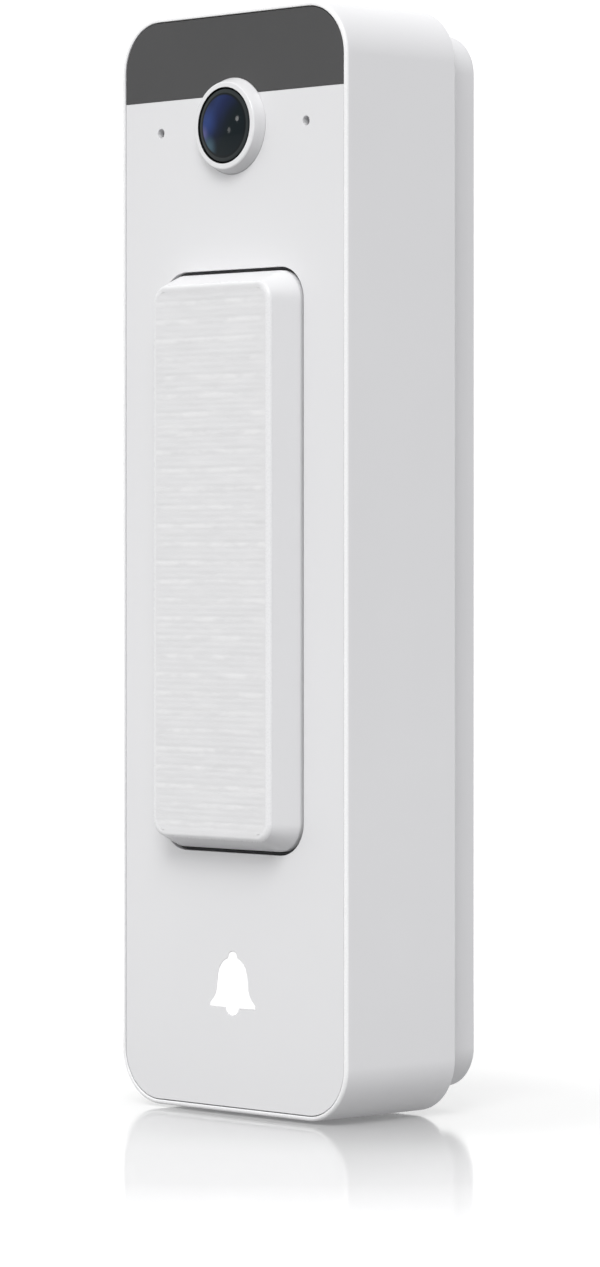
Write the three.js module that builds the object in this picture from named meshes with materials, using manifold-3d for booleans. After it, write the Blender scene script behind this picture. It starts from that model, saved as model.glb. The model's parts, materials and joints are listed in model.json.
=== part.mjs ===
// Slim wall-mounted video doorbell, as an assembly of separate pieces.
// Units are millimetres. World frame: +Z up, the front face looks along -Y, the wall is at +Y,
// and the origin is the centre of the bottom of the bounding box.
// Everything is modelled in a "front frame" group: x right, y up, z towards the visitor,
// with z = 0 at the plane of the housing's front rim. The group is turned so that y becomes world Z.
import * as THREE from 'three';
import { mergeVertices } from 'three/addons/utils/BufferGeometryUtils.js';
import Module from 'manifold-3d';

const wasm = await Module();
wasm.setup();

// ---------------------------------------------------------------- driving dimensions
const W = 48;            // housing width
const H = 160;             // housing height
const D = 22;              // housing depth, rim to back
const R = 8;               // housing corner radius
const WALL = 2.0;          // housing wall
const RIM = 0.78;          // rim and reveal around the front panel
const RABBET = 1.85;       // depth of the front panel's seat
const MID = H / 2;         // height of the button's centre

const BTN_HW = 14.5;       // call button, half width at the panel
const BTN_HH = 41.8;       // half height at the panel
const BTN_FW = 12.45;      // half width of its front face
const BTN_FH = 40.0;       // half height of its front face
const BTN_P = 4.3;         // how far it stands proud
const BTN_GAP = 0.52;      // reveal around it
const BTN_TRAVEL = 1.0;

const LENS_Y = 143.15;     // height of the camera axis
const LENS_R = 7.0;       // collar radius at the panel
const LENS_P = 1.6;        // how far the collar stands proud
const WINDOW_Y = 147.7;    // lower edge of the tinted window
const MIC_X = 15.5, MIC_Y = 142.95, MIC_R = 0.72;
const MARK_Y = 18.6;       // centre of the status mark

const BR_IN = 3;           // bracket's inset from the housing outline
const BR_D = 7;            // bracket depth behind the housing, with its gap
const BR_GAP = 0.3;
const SLIDE = 6;           // how far the bracket slides to unhook

const TOTAL_D = BTN_P + D + BR_D;
const Y_FRONT = -TOTAL_D / 2 + BTN_P;   // world Y of the rim plane

// ---------------------------------------------------------------- helpers
// A rounded rectangle as a list of points, anticlockwise.
function rr(hw, y0, y1, r, n = 6) {
  const pts = [];
  const c = [[hw - r, y1 - r, 0], [-hw + r, y1 - r, 90], [-hw + r, y0 + r, 180], [hw - r, y0 + r, 270]];
  for (const [cx, cy, a0] of c)
    for (let i = 0; i <= n; i++) {
      const a = THREE.MathUtils.degToRad(a0 + (90 * i) / n);
      pts.push([cx + r * Math.cos(a), cy + r * Math.sin(a)]);
    }
  return pts;
}
// The same, inset from the housing's outline.
const inset = (d, r, n = 6) => rr(W / 2 - d, d, H - d, r, n);
const centred = (hw, hh, r, n = 5) => rr(hw, MID - hh, MID + hh, r, n);

// A closed solid through sections of equal point counts: [[points, z], ...] with z rising.
function loft(sections) {
  const n = sections[0][0].length, pos = [], idx = [];
  for (const [pts, z] of sections) for (const [x, y] of pts) pos.push(x, y, z);
  for (let s = 0; s < sections.length - 1; s++)
    for (let i = 0; i < n; i++) {
      const j = (i + 1) % n, a = s * n + i, b = s * n + j, c = (s + 1) * n + j, d = (s + 1) * n + i;
      idx.push(a, b, c, a, c, d);
    }
  const cap = (s, flip) => {
    const v = sections[s][0].map(([x, y]) => new THREE.Vector2(x, y));
    for (const [a, b, c] of THREE.ShapeUtils.triangulateShape(v, []))
      flip ? idx.push(s * n + c, s * n + b, s * n + a) : idx.push(s * n + a, s * n + b, s * n + c);
  };
  cap(0, true);
  cap(sections.length - 1, false);
  const g = new THREE.BufferGeometry();
  g.setAttribute('position', new THREE.Float32BufferAttribute(pos, 3));
  g.setIndex(idx);
  return g;
}
const slab = (pts, z0, z1) => {
  const g = new THREE.ExtrudeGeometry(new THREE.Shape(pts.map(([x, y]) => new THREE.Vector2(x, y))), { depth: z1 - z0, bevelEnabled: false });
  return g.translate(0, 0, z0);
};
const box = (x0, x1, y0, y1, z0, z1) =>
  new THREE.BoxGeometry(x1 - x0, y1 - y0, z1 - z0).translate((x0 + x1) / 2, (y0 + y1) / 2, (z0 + z1) / 2);
// A cylinder along z.
const rod = (x, y, r, z0, z1, n = 20) =>
  new THREE.CylinderGeometry(r, r, z1 - z0, n).rotateX(Math.PI / 2).translate(x, y, (z0 + z1) / 2);
// A cylinder along y.
const rodY = (x, z, r, y0, y1, n = 20) => new THREE.CylinderGeometry(r, r, y1 - y0, n).translate(x, (y0 + y1) / 2, z);
// A body of revolution about z, from a profile of [radius, z] given in either direction. A profile off the axis is closed on itself.
function turned(profile, n = 32) {
  if (profile[0][0] > 0) profile = [...profile.filter((q, i) => i === 0 || q[0] !== profile[0][0] || q[1] !== profile[0][1]), profile[0]];
  let area = 0;
  profile.forEach(([r, z], i) => {
    const [r2, z2] = profile[(i + 1) % profile.length];
    area += r * z2 - r2 * z;
  });
  const pts = area > 0 ? profile : profile.slice().reverse();
  return new THREE.LatheGeometry(pts.map(([r, z]) => new THREE.Vector2(r, z)), n).rotateX(Math.PI / 2);
}

// Geometry to a closed solid and back, for cuts and joins.
function solid(g) {
  const p = g.index ? g.toNonIndexed() : g;
  const m = mergeVertices(new THREE.BufferGeometry().setAttribute('position', p.getAttribute('position')), 1e-4);
  return new wasm.Manifold(new wasm.Mesh({ numProp: 3, vertProperties: new Float32Array(m.attributes.position.array), triVerts: new Uint32Array(m.index.array) }));
}
function geometry(s) {
  const m = s.getMesh(), v = new Float32Array(m.numVert * 3);
  for (let i = 0; i < m.numVert; i++) v.set(m.vertProperties.subarray(i * m.numProp, i * m.numProp + 3), i * 3);
  const g = new THREE.BufferGeometry();
  g.setAttribute('position', new THREE.BufferAttribute(v, 3));
  g.setIndex(new THREE.BufferAttribute(m.triVerts, 1));
  return g;
}
const cut = (base, ...tools) => geometry(tools.reduce((s, t) => s.subtract(solid(t)), solid(base)));
const join = (base, ...more) => geometry(more.reduce((s, t) => s.add(solid(t)), solid(base)));

const MATERIALS = {
  white_shell: [0xdcdcde, 0.45, 0], panel: [0xe3e3e4, 0.5, 0], window: [0x545454, 0.3, 0], collar: [0xf2f2f3, 0.3, 0],
  glass: [0x10131c, 0.03, 0], black: [0x151517, 0.5, 0], cap: [0xe6e6e7, 0.45, 0], pad: [0xe4e4e4, 0.75, 0], rubber: [0x3b3b40, 0.8, 0],
  mark: [0xffffff, 0.4, 0], board: [0x14532f, 0.5, 0], steel: [0xb9bbc0, 0.3, 1], brass: [0xc9a75a, 0.3, 1], chip: [0x1d1d20, 0.5, 0],
  grey_part: [0x6d7075, 0.5, 0], filter: [0x8fd0d6, 0.05, 0], led: [0xf1f1e6, 0.3, 0], copper: [0xb87333, 0.4, 1], green: [0x3f7f4f, 0.5, 0],
};
const front = new THREE.Group();      // the front frame
const camera = new THREE.Group();     // centred on the camera axis
camera.position.set(0, LENS_Y, 0);
front.add(camera);

function put(name, g, mat, parent = front) {
  const [color, roughness, metalness] = MATERIALS[mat];
  const m = new THREE.Mesh(g, new THREE.MeshStandardMaterial({ color, roughness, metalness }));
  m.name = name;
  parent.add(m);
  return m;
}

// A screw along z with its head at the bottom (the head looks towards -z) and a six-point socket.
function screw(headR, headH, shankR, length) {
  const body = turned([[0, 0], [headR - 0.25, 0], [headR, 0.25], [headR, headH], [shankR, headH], [shankR, headH + length - 0.4], [shankR - 0.35, headH + length], [0, headH + length]], 12);
  return cut(body, rod(0, 0, headR * 0.5, -0.1, headH * 0.55, 6));
}

// ---------------------------------------------------------------- housing
{
  const outer = loft([
    [inset(0.3, R - 0.3), -D], [inset(0, R), -D + 0.3], [inset(0, R), -0.5], [inset(0.15, R - 0.15), -0.15], [inset(0.42, R - 0.42), 0],
  ]);
  const cavity = slab(inset(WALL, R - WALL), -18.0, -1);
  const seat = slab(inset(RIM - 0.14, R - RIM), -RABBET, 1);
  const ledge = slab(inset(3.4, R - 3.4), -19, -17);
  const rear = slab(inset(WALL, R - WALL), -D - 1, -19.6);
  let s = solid(outer).subtract(solid(seat)).subtract(solid(cavity)).subtract(solid(ledge)).subtract(solid(slab(inset(3.4, R - 3.4), -20, -18))).subtract(solid(rear));
  // bosses for the rear cover's screws
  for (const x of [-19.3, 19.3]) for (const y of [7.5, 152.5]) s = s.add(solid(rod(x, y, 2.6, -19.6, -10, 16)));
  // stops that the chassis rests against
  for (const y of [31, 74, 119]) for (const sx of [-1, 1]) s = s.add(solid(box(Math.min(sx * 19.9, sx * 22.2), Math.max(sx * 19.9, sx * 22.2), y, y + 6, -12.4, -10.1)));
  // boss of the security screw on the floor of the housing
  s = s.add(solid(rodY(0, -17.5, 3.4, 1.5, 3.6, 16)));
  for (const x of [-19.3, 19.3]) for (const y of [7.5, 152.5]) s = s.subtract(solid(rod(x, y, 0.95, -20, -12, 12)));
  s = s.subtract(solid(rodY(0, -17.5, 1.5, -1, 5, 16))).subtract(solid(rodY(0, -17.5, 2.7, -1, 1.6, 20)));
  // sound slots under the speaker
  for (const x of [-10, -5, 0, 5, 10]) s = s.subtract(solid(box(x - 0.8, x + 0.8, -1, 3, -11.5, -4.5)));
  put('main_housing', geometry(s), 'white_shell');
}

// ---------------------------------------------------------------- front panel and tinted window
const bellOutline = (grow = 0) => {
  // a plain bell pictogram about 10 mm wide, drawn about its centre
  const half = [[0, 4.7], [0.75, 4.45], [0.95, 3.75], [2.1, 3.1], [3.0, 1.9], [3.35, 0.3], [3.55, -1.3], [4.2, -2.35], [4.75, -2.85], [4.75, -3.45], [1.35, -3.45], [1.05, -4.2], [0, -4.6]];
  const g = half.map(([x, y]) => {
    const l = Math.hypot(x, y);
    return [x + (grow * x) / l, y + (grow * y) / l];
  });
  const left = g.slice(1, -1).map(([x, y]) => [-x, y]);
  return [...g.slice().reverse(), ...left].map(([x, y]) => [x, MARK_Y + y]);
};
{
  const hw = W / 2 - RIM, y0 = RIM, y1 = H - RIM, r = R - RIM;
  const full = rr(hw, y0, y1, r, 8);
  const below = box(-30, 30, -10, WINDOW_Y + 0.06, -3, 1), above = box(-30, 30, WINDOW_Y - 0.06, 170, -3, 1);
  const lensHole = rod(0, LENS_Y, LENS_R + 0.12, -4, 2, 40);
  const opening = slab(centred(BTN_HW + BTN_GAP, BTN_HH + BTN_GAP, 4.9), -4, 2);
  put('front_panel',
    cut(slab(full, -1.65, -0.12), above, lensHole, opening, slab(bellOutline(0.16), -3, 1),
      rod(-MIC_X, MIC_Y, MIC_R, -3, 1, 14), rod(MIC_X, MIC_Y, MIC_R, -3, 1, 14)), 'panel');
  put('tinted_window', cut(slab(full, -1.65, -0.12), below, lensHole), 'window');
}

// ---------------------------------------------------------------- call button
{
  const body = loft([
    [centred(BTN_HW, BTN_HH, 4.4), -2.05], [centred(BTN_HW, BTN_HH, 4.4), 0],
    [centred(BTN_FW + 0.35, BTN_FH + 0.3, 2.9), BTN_P - 0.75], [centred(BTN_FW, BTN_FH, 2.6), BTN_P - 0.25], [centred(BTN_FW - 0.4, BTN_FH - 0.4, 2.3), BTN_P],
  ]);
  put('button_cap', cut(body, slab(centred(12.0, 39.4, 2.5), -3, 2.4), slab(centred(11.75, 39.3, 2.0), 3.7, 6)), 'cap');
  // the textured face: a pad with shallow ribs across it
  const pad = slab(centred(11.6, 39.15, 1.9), 3.75, 4.12);
  const ribs = [];
  for (let y = MID - 36; y <= MID + 36.1; y += 4) ribs.push(box(-11, 11, y - 1.2, y + 1.2, 4.0, BTN_P));
  put('button_face_pad', join(pad, ...ribs), 'pad');

  const plate = loft([[centred(16.6, 44, 5.6), -3.65], [centred(16.6, 44, 5.6), -2.15]]);
  const core = slab(centred(11.7, 39.1, 2.4), -2.6, 2.1);
  let s = solid(plate).add(solid(core)).subtract(solid(slab(centred(10, 37, 2), -1.2, 3)));
  for (const y of [46, 114]) s = s.add(solid(rod(0, y, 1.2, -11.8, -3, 16)));
  for (const y of [62, 98]) s = s.add(solid(rod(0, y, 1.8, -8.4, -3, 16)));
  put('button_carrier', geometry(s), 'rubber');
  // light seal: a flange behind the panel with a lip standing in the reveal
  put('button_seal', cut(join(slab(centred(17.2, 44.6, 6.2), -2.05, -1.75), slab(centred(BTN_HW + 0.44, BTN_HH + 0.44, 4.82), -1.8, -0.8)), slab(centred(BTN_HW + 0.12, BTN_HH + 0.12, 4.5), -3, 0)), 'rubber');
}
// return springs round the carrier's guide posts
class Helix extends THREE.Curve {
  constructor(r, z0, z1, turns) { super(); Object.assign(this, { r, z0, z1, turns }); }
  getPoint(t, v = new THREE.Vector3()) {
    const a = t * this.turns * Math.PI * 2;
    return v.set(this.r * Math.cos(a), this.r * Math.sin(a), this.z0 + (this.z1 - this.z0) * t);
  }
}
const wire = (r) => new THREE.Shape(Array.from({ length: 6 }, (_, i) => new THREE.Vector2(r * Math.cos((i * Math.PI) / 3), r * Math.sin((i * Math.PI) / 3))));
['upper', 'lower'].forEach((side, i) => {
  const g = new THREE.ExtrudeGeometry(wire(0.24), { steps: 44, bevelEnabled: false, extrudePath: new Helix(2.0, -7.95, -4.0, 4) });
  const m = put(side + '_return_spring', g, 'steel');
  m.position.set(0, i ? 46 : 114, 0);
});
// switches under the button
['upper', 'lower'].forEach((side, i) => {
  const g = new THREE.Group();
  g.position.set(0, i ? 62 : 98, 0);
  front.add(g);
  put(side + '_switch_body', cut(box(-3, 3, -3, 3, -13.4, -10.0), rod(0, 0, 2.0, -12.7, -9, 16)), 'chip', g);
  put(side + '_switch_stem', rod(0, 0, 1.7, -11.5, -8.6, 14), 'grey_part', g);
});

// ---------------------------------------------------------------- chassis and boards
{
  let s = solid(slab(rr(21.2, 14, 133, 2, 3), -9.8, -8.3));
  for (const y of [46, 114]) s = s.subtract(solid(rod(0, y, 1.45, -11, -7, 16)));
  for (const y of [62, 98]) s = s.subtract(solid(rod(0, y, 2.3, -11, -7, 16)));
  for (const [x0, x1, y0, y1] of [[-16, -5, 54, 106], [5, 16, 54, 106], [-12, 12, 20, 36]]) s = s.subtract(solid(slab([[x0, y0], [x1, y0], [x1, y1], [x0, y1]], -11, -7)));
  for (const [x, y] of [[-16, 28], [16, 28], [-16, 122.5], [16, 122.5]]) s = s.add(solid(rod(x, y, 2.2, -13.4, -9, 12))).subtract(solid(rod(x, y, 0.95, -14, -9.9, 10)));
  put('chassis_frame', geometry(s), 'black');
  put('main_board', cut(slab(rr(18.8, 24, 127, 1.5, 2), -15.1, -13.5), rod(-16, 28, 1.3, -16, -13, 10), rod(16, 122.5, 1.3, -16, -13, 10)), 'board');
  [['board_screw_lower', -16, 28], ['board_screw_upper', 16, 122.5]].forEach(([n, x, y]) => {
    const m = put(n, screw(1.9, 1.0, 0.8, 4.6), 'steel');
    m.position.set(x, y, -16.2);
  });
  put('shield_can', cut(box(-10, 10, 84, 110, -17.4, -15.2), box(-9.6, 9.6, 84.4, 109.6, -16.9, -15)), 'steel');
  const cap = put('storage_capacitor', cut(new THREE.CylinderGeometry(2.1, 2.1, 12, 20), box(-0.1, 0.1, 5.7, 6.2, -1.6, 1.6)), 'grey_part');
  cap.position.set(-14.5, 72, -17.4);
  put('reset_switch', join(box(-2, 2, 70, 74, -17.9, -15.2), rod(0, 72, 1.0, -18.35, -17.8, 12)), 'chip');
  put('wifi_antenna', slab([[-0.15, 90], [0.15, 90], [0.15, 112], [-0.15, 112]], -7.6, -3.2), 'copper').position.set(-21.45, 0, 0);
  const q = 'terminal_block';
  put(q, cut(join(box(-8.5, 8.5, 50, 60, -22.6, -15.2), box(-0.7, 0.7, 50, 60, -24.4, -22)), rod(-4.4, 55, 1.45, -23, -17.5, 14), rod(4.4, 55, 1.45, -23, -17.5, 14)), 'black');
  [['terminal_screw_left', -4.4], ['terminal_screw_right', 4.4]].forEach(([n, x]) => {
    const m = put(n, screw(2.7, 1.3, 1.25, 4.2), 'brass');
    m.position.set(x, 55, -24.1);
  });
}

// ---------------------------------------------------------------- camera
{
  const p = LENS_P;
  put('lens_collar', turned([[5.5, -3.0], [5.5, p - 0.1], [5.6, p], [6.2, p], [6.4, p - 0.2], [6.85, 0.3], [LENS_R, 0], [LENS_R, -1.95], [8.4, -1.95], [8.4, -3.0]], 32), 'collar', camera);
  put('lens_cover_glass', turned([[0, 1.42], [2.5, 1.34], [4.6, 1.08], [5.3, 1.08], [5.3, 1.32], [4.2, 1.62], [2.4, 1.9], [0, 2.0]], 28), 'glass', camera);
  put('lens_barrel', turned([[3.5, -8], [3.5, -0.7], [4.82, -0.7], [4.82, 0.98], [5.3, 0.98], [5.3, -1.5], [4.9, -1.5], [4.9, -8]], 28), 'black', camera);
  put('front_lens_element', turned([[0, -0.6], [4.72, -0.6], [4.72, 0.3], [4.0, 0.62], [2.9, 0.95], [1.6, 1.18], [0, 1.26]], 28), 'glass', camera);
  put('rear_lens_element', turned([[0, -7.3], [2.2, -7.0], [3.35, -6.3], [3.35, -5.9], [2.2, -5.4], [0, -5.1]], 20), 'glass', camera);
  put('lens_holder', cut(box(-7.5, 7.5, -7.5, 7.5, -12.4, -8.2), rod(0, 0, 3.3, -11.3, -8, 24), box(-8, 8, -4, 4, -10.6, -9.4), box(-5, 5, -4.2, 4.2, -13, -11.2)), 'black', camera);
  const slide = new THREE.Group();
  camera.add(slide);
  put('filter_slide', cut(box(-8.8, 3.2, -3.6, 3.6, -10.4, -9.6), rod(0, 0, 2.35, -11, -9, 20), rod(-5.6, 0, 2.35, -11, -9, 20)), 'grey_part', slide);
  put('ir_cut_filter', rod(0, 0, 2.2, -10.25, -9.75, 20), 'filter', slide);
  put('image_sensor', join(box(-4, 4, -3.2, 3.2, -12.45, -12.0), box(-3, 3, -2.3, 2.3, -12.1, -11.6)), 'chip', camera);
  put('camera_board', slab(rr(14.5, -11.6, 11.2, 1.5, 2), -13.6, -12.6), 'board', camera);
}

// ---------------------------------------------------------------- sensors and microphones behind the window
{
  put('sensor_board', cut(slab(rr(20.8, 138.5, 157.2, 4, 3), -6.0, -5.0), rod(0, LENS_Y, 6.2, -7, -4, 24)), 'board');
  [-11.6, 11.6].forEach((x, i) => {
    const m = put((i ? 'right' : 'left') + '_infrared_led', join(box(-1.4, 1.4, -1.4, 1.4, -4.9, -3.4), turned([[0, -3.6], [1.1, -3.6], [1.05, -2.9], [0.7, -2.55], [0, -2.4]], 14)), 'led');
    m.position.set(x, 153.7, 0);
  });
  put('light_sensor', box(-1.1, 1.1, 153.9, 156.1, -4.9, -4.1), 'chip');
  [['left', -1], ['right', 1]].forEach(([side, s]) => {
    put(side + '_microphone', box(-1.75, 1.75, -1.35, 1.35, -4.95, -3.95), 'steel').position.set(s * MIC_X, MIC_Y, 0);
    put(side + '_microphone_boot', turned([[0.75, -3.85], [0.75, -1.75], [2.4, -1.75], [2.4, -3.85], [0.75, -3.85]], 16), 'rubber').position.set(s * MIC_X, MIC_Y, 0);
  });
}

// ---------------------------------------------------------------- status mark
{
  put('status_light_pipe', slab(bellOutline(0), -1.6, -0.12), 'mark');
  put('status_diffuser', box(-8, 8, MARK_Y - 7, MARK_Y + 7, -3.2, -1.8), 'mark');
  put('status_board', cut(slab(rr(10, MARK_Y - 8, MARK_Y + 8, 1, 2), -6.0, -5.0), rod(-8, MARK_Y + 6, 0.8, -7, -4, 10), rod(8, MARK_Y + 6, 0.8, -7, -4, 10)), 'board');
  put('status_led', join(box(-2, 2, MARK_Y - 1.5, MARK_Y + 1.5, -4.9, -4.3), rod(0, MARK_Y, 1.2, -4.4, -4.0, 14)), 'led');
}

// ---------------------------------------------------------------- loudspeaker, facing the floor of the housing
{
  const sp = new THREE.Group();
  sp.position.set(0, 0, -8.2);
  front.add(sp);
  put('speaker_frame', cut(box(-14, 14, 3.3, 9.3, -5.2, 4.8), box(-12.6, 12.6, 3, 7.2, -3.9, 3.6), rodY(0, -0.15, 3.4, 5, 10, 20)), 'black', sp);
  const cone = new THREE.ExtrudeGeometry(new THREE.Shape([[-12.3, -3.6], [12.3, -3.6], [12.3, 3.3], [-12.3, 3.3]].map(([x, y]) => new THREE.Vector2(x, y))), { depth: 0.5, bevelEnabled: false }).rotateX(Math.PI / 2);
  put('speaker_cone', join(cone.translate(0, 4.6, 0), rodY(0, -0.15, 2.6, 4.3, 5.4, 20)), 'grey_part', sp);
  put('speaker_magnet', rodY(0, -0.15, 3.1, 5.7, 9.2, 20), 'steel', sp);
}

// ---------------------------------------------------------------- rear cover, gasket and screws
const HOOKS = [[-12, 128], [12, 128], [-12, 38], [12, 38]];   // x, and the underside of each hook's shank
{
  const outline = inset(WALL + 0.25, R - WALL - 0.25);
  const tools = [];
  for (const [x, y] of HOOKS) tools.push(box(x - 3, x + 3, y - SLIDE - 0.5, y + 2.9, -D - 1, -19));
  tools.push(box(-5.2, 5.2, 0, 12.6, -D - 1, -19), box(-9, 9, 49.5, 60.5, -D - 1, -19), rod(0, 72, 1.6, -D - 1, -19, 16));
  for (const x of [-19.3, 19.3]) for (const y of [7.5, 152.5]) tools.push(rod(x, y, 1.25, -D - 1, -19, 14), rod(x, y, 2.35, -D - 1, -20.7, 20));
  put('rear_cover', cut(slab(outline, -D, -20.02), ...tools), 'white_shell');
  put('rear_gasket', cut(slab(inset(2.3, R - 2.3), -19.92, -19.68), slab(inset(3.3, R - 3.3), -21, -19), box(-5.2, 5.2, 0, 6, -21, -19),
    ...[-19.3, 19.3].flatMap((x) => [7.5, 152.5].map((y) => rod(x, y, 1.25, -21, -19, 12)))), 'rubber');
  let k = 0;
  for (const y of [152.5, 7.5]) for (const x of [-19.3, 19.3]) {
    const m = put('rear_cover_screw_' + ++k, screw(2.05, 1.0, 0.8, 7), 'steel');
    m.position.set(x, y, -21.75);
  }
  put('reset_button', turned([[0, -21.7], [1.15, -21.7], [1.3, -21.5], [1.3, -19.75], [2.0, -19.75], [2.0, -19.1], [0, -19.1]], 18), 'grey_part').position.set(0, 72, 0);
}

// ---------------------------------------------------------------- wall bracket and its security screw
{
  const z0 = -D - BR_D, zf = -D - BR_GAP, floor = z0 + 1.8;
  const outer = loft([[inset(BR_IN + 0.4, 5.6), z0], [inset(BR_IN, 6), z0 + 0.4], [inset(BR_IN, 6), zf]]);
  let s = solid(outer).subtract(solid(slab(inset(BR_IN + 2, 4), floor, zf + 1)));
  for (const [x, y] of HOOKS) s = s.add(solid(box(x - 2.5, x + 2.5, y, y + 2.5, floor - 0.5, -18.3))).add(solid(box(x - 2.5, x + 2.5, y + 2, y + 5, -19.7, -18.3)));
  s = s.add(solid(box(-4.5, 4.5, 10, 12, floor - 0.5, -15.6)));   // lock tab over the security screw
  s = s.subtract(solid(slab(rr(10, 44, 66, 3, 4), z0 - 1, floor + 1)));   // cable opening
  // slots for the wall screws, with recesses for their heads
  s = s.subtract(solid(slab(rr(2.2, 135.5, 144.5, 2.19, 6), z0 - 1, floor + 1))).subtract(solid(slab(rr(4, 133.7, 146.3, 3.99, 6), floor - 0.8, floor + 1)));
  s = s.subtract(solid(slab(rr(4.5, 22.8, 27.2, 2.19, 6), z0 - 1, floor + 1))).subtract(solid(slab(rr(6.3, 21, 29, 3.99, 6), floor - 0.8, floor + 1)));
  put('wall_bracket', geometry(s), 'white_shell');

  const m = put('security_screw', screw(2.3, 1.15, 1.25, 8.1), 'steel');
  m.rotation.x = -Math.PI / 2;
  m.position.set(0, 0.35, -17.5);
}

// ---------------------------------------------------------------- into the world frame
const doorbell = new THREE.Group();
front.rotation.x = Math.PI / 2;
front.position.y = Y_FRONT;
doorbell.add(front);

export default doorbell;
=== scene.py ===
import json
import math

import bmesh
import bpy
from mathutils import Matrix, Vector


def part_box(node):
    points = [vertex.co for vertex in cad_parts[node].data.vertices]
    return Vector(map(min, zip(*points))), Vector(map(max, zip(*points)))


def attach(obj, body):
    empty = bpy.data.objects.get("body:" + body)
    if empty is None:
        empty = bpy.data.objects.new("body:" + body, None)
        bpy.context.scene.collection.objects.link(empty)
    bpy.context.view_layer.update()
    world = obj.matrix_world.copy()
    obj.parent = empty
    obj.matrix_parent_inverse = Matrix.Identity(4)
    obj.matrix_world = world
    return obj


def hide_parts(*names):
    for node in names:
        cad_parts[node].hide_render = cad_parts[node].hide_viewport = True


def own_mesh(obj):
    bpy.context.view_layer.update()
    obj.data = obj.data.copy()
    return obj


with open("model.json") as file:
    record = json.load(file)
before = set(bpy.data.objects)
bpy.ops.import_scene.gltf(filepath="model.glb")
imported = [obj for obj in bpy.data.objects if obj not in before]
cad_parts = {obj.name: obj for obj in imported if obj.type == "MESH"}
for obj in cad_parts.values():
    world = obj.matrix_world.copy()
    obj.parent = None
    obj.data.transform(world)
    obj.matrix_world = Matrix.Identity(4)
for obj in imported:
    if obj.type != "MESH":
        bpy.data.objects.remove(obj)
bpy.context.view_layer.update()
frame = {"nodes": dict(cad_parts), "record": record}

# ------------------------------------------------------------------ frame
# Shapes are written in millimetres in the doorbell's front frame: x right, y up, z towards the visitor,
# with z = 0 at the front rim of the housing.
Y_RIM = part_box("main_housing")[0][1]
MM = 0.001
TO_WORLD = Matrix(((MM, 0, 0, 0), (0, 0, -MM, Y_RIM), (0, MM, 0, 0), (0, 0, 0, 1)))

W, H, D, R = 48.0, 160.0, 22.0, 8.0
RIM = 0.78
MID = H / 2
BTN_HW, BTN_HH, BTN_FW, BTN_FH, BTN_P, BTN_GAP = 14.5, 41.8, 12.45, 40.0, 4.3, 0.52
LENS_Y, LENS_R, LENS_P = 143.15, 7.0, 1.6
WINDOW_Y = 147.7
MIC_X, MIC_Y, MIC_R = 15.5, 142.95, 0.72
MARK_Y = 18.6
BR_IN, BR_D, BR_GAP = 3.0, 7.0, 0.3


# ------------------------------------------------------------------ outlines
def rr(hw, y0, y1, r, n=14):
    pts = []
    for cx, cy, a0 in ((hw - r, y1 - r, 0), (-hw + r, y1 - r, 90), (-hw + r, y0 + r, 180), (hw - r, y0 + r, 270)):
        for i in range(n + 1):
            a = math.radians(a0 + 90 * i / n)
            pts.append((cx + r * math.cos(a), cy + r * math.sin(a)))
    return pts


def inset(d, r=None, n=14):
    return rr(W / 2 - d, d, H - d, (R - d) if r is None else r, n)


def centred(hw, hh, r, n=10):
    return rr(hw, MID - hh, MID + hh, r, n)


def circle(x, y, r, n=32):
    return [(x + r * math.cos(2 * math.pi * i / n), y + r * math.sin(2 * math.pi * i / n)) for i in range(n)]


def bell(grow=0.0):
    half = [(0, 4.7), (0.42, 4.62), (0.75, 4.35), (0.95, 3.75), (1.6, 3.45), (2.25, 2.95), (2.75, 2.25), (3.05, 1.4), (3.2, 0.3), (3.3, -0.7), (3.55, -1.5), (4.05, -2.2), (4.75, -2.85), (4.75, -3.4), (1.35, -3.45), (1.2, -3.95), (0.8, -4.4), (0, -4.6)]
    g = [(x * (1 + grow / math.hypot(x, y)), y * (1 + grow / math.hypot(x, y))) for x, y in half]
    return [(x, MARK_Y + y) for x, y in list(reversed(g)) + [(-x, y) for x, y in g[1:-1]]]


# ------------------------------------------------------------------ mesh building
def finish_mesh(name, bm, node=None, world=True):
    """Closed bmesh in front-frame millimetres to an object in world metres."""
    bmesh.ops.remove_doubles(bm, verts=bm.verts, dist=1e-4 if world else 1e-7)
    bmesh.ops.recalc_face_normals(bm, faces=bm.faces)
    if world:
        bm.transform(TO_WORLD)
    me = bpy.data.meshes.new(name)
    bm.to_mesh(me)
    bm.free()
    o = bpy.data.objects.new(name, me)
    bpy.context.scene.collection.objects.link(o)
    return o


def sweep(profile, outline, closed=True):
    """A closed or capped solid: each (inset, z) of the profile draws outline(inset) at z."""
    bm = bmesh.new()
    rows = [[bm.verts.new((x, y, z)) for x, y in outline(d)] for d, z in profile]
    n = len(rows[0])
    pairs = list(zip(rows, rows[1:])) + ([(rows[-1], rows[0])] if closed else [])
    for a, b in pairs:
        for i in range(n):
            j = (i + 1) % n
            bm.faces.new((a[i], a[j], b[j], b[i]))
    if not closed:
        bm.faces.new(list(reversed(rows[0])))
        bm.faces.new(rows[-1])
    return bm


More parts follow.
